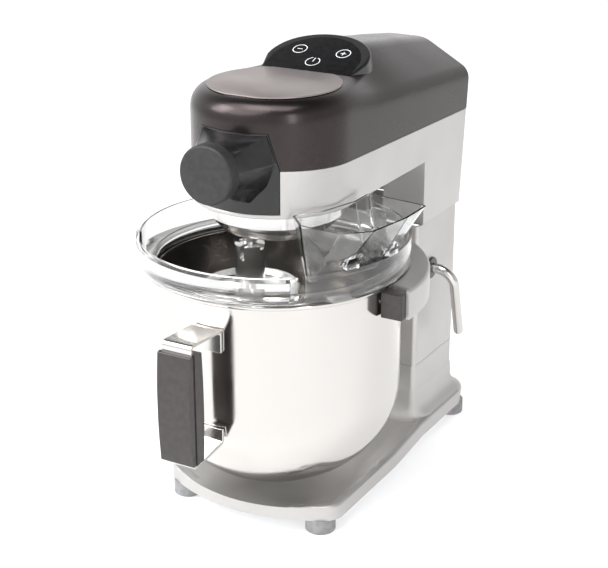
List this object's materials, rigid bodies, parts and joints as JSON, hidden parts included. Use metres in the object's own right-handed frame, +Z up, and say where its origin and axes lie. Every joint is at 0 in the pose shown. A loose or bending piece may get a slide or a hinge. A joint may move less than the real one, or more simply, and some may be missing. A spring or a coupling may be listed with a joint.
{
  "type": "planetary stand mixer",
  "caption": "Bowl-lift planetary stand mixer with steel bowl and handle, clear splash guard with filling chute, whisk, attachment hub, lift lever and touch panel.",
  "frame": {"origin": "on the floor at the middle of the overall box", "axes": "+Z up, -Y towards the bowl and handle, +X towards the lift lever and filling chute"},
  "size_m": [0.31, 0.485, 0.4672],
  "materials": {
    "cast_aluminium": "satin, finely brushed",
    "hood_dark": "satin gloss",
    "nose_dark": "gloss",
    "nose_plate": "satin",
    "panel_glass": "polished",
    "black_rubber": "matte",
    "foot_rubber": "matte",
    "grip_plastic": "satin",
    "bowl_steel": "satin, turned",
    "polished_steel": "polished",
    "tool_aluminium": "satin",
    "clear_plastic": "clear",
    "inner_steel": "machined",
    "bronze": "sintered",
    "board_green": "solder mask",
    "motor_paint": "satin",
    "plate_zinc": "zinc plated"
  },
  "bodies": {
    "frame": {"base_casting": "cast_aluminium", "base_plate": "plate_zinc", "base_screws": "plate_zinc", "feet": "foot_rubber", "column_shell": "cast_aluminium", "rear_cover": "cast_aluminium", "cover_screws": "plate_zinc", "power_inlet": "black_rubber", "head_housing": "cast_aluminium", "head_hood": "hood_dark", "nose_front": "nose_dark", "nose_plate": "nose_plate", "control_glass": "panel_glass", "control_board": "board_green", "hub_bush": "bronze", "main_bearings": "inner_steel", "gearbox_bracket": "cast_aluminium", "motor_can": "motor_paint", "motor_stator": "inner_steel", "motor_plate": "plate_zinc", "drive_belt": "black_rubber", "ring_gear": "inner_steel", "lift_rails": "inner_steel", "rail_blocks": "cast_aluminium", "lever_bracket": "plate_zinc", "lever_bush": "grip_plastic", "guard_sensor": "grip_plastic", "power_board": "board_green"},
    "carrier": {"main_shaft": "inner_steel", "face_gear": "inner_steel", "large_belt_pulley": "grip_plastic", "planetary_housing": "bowl_steel", "tool_bush": "bronze"},
    "tool": {"planet_gear": "inner_steel", "tool_shaft": "inner_steel", "tool_pin": "inner_steel", "whisk_hub": "tool_aluminium", "whisk_wires": "polished_steel"},
    "rotor": {"motor_rotor": "inner_steel", "motor_pulley": "inner_steel"},
    "hub_drive": {"hub_shaft": "inner_steel"},
    "hub_cap": {"hub_cap": "black_rubber"},
    "lift": {"yoke": "cast_aluminium", "yoke_pads": "grip_plastic", "lift_carriage": "cast_aluminium", "lift_rack": "inner_steel", "bowl": "bowl_steel", "bowl_pins": "polished_steel", "handle_strap": "polished_steel", "handle_grip": "grip_plastic", "guard_ring": "clear_plastic", "guard_chute": "clear_plastic"},
    "gate": {"guard_gate": "clear_plastic"},
    "lever": {"lever_rod": "polished_steel", "lever_pinion": "inner_steel"}
  },
  "joints": [
    {"name": "bowl_lift", "type": "slide", "parent": "frame", "child": "lift", "axis": [0, 0, 1], "range_m": [0, 0.0345]},
    {"name": "lever_swing", "type": "hinge", "parent": "frame", "child": "lever", "pos_m": [0.108, 0.1445, 0.203], "axis": [-1, 0, 0], "range_deg": [0, 90]},
    {"name": "gate_swing", "type": "hinge", "parent": "lift", "child": "gate", "pos_m": [0, -0.0545, 0.28], "axis": [0, 0, -1], "range_deg": [0, 95]},
    {"name": "planetary_spin", "type": "hinge", "parent": "frame", "child": "carrier", "pos_m": [0, -0.0545, 0.34], "axis": [0, 0, 1], "continuous": true},
    {"name": "tool_spin", "type": "hinge", "parent": "carrier", "child": "tool", "pos_m": [-0.01876, -0.07392, 0.3], "axis": [0, 0, 1], "continuous": true},
    {"name": "motor_spin", "type": "hinge", "parent": "frame", "child": "rotor", "pos_m": [0, 0.1675, 0.35], "axis": [0, 0, 1], "continuous": true},
    {"name": "hub_spin", "type": "hinge", "parent": "frame", "child": "hub_drive", "pos_m": [0, -0.1145, 0.381], "axis": [0, -1, 0], "continuous": true},
    {"name": "cap_pull", "type": "slide", "parent": "frame", "child": "hub_cap", "axis": [0, -1, 0], "range_m": [0, 0.03]}
  ],
  "couplings": [
    {"joint": "lever_swing", "follows": "bowl_lift", "rad_per_m": 45.455},
    {"joint": "tool_spin", "follows": "planetary_spin", "ratio": -3},
    {"joint": "motor_spin", "follows": "planetary_spin", "ratio": 5},
    {"joint": "hub_spin", "follows": "planetary_spin", "ratio": -2}
  ]
}
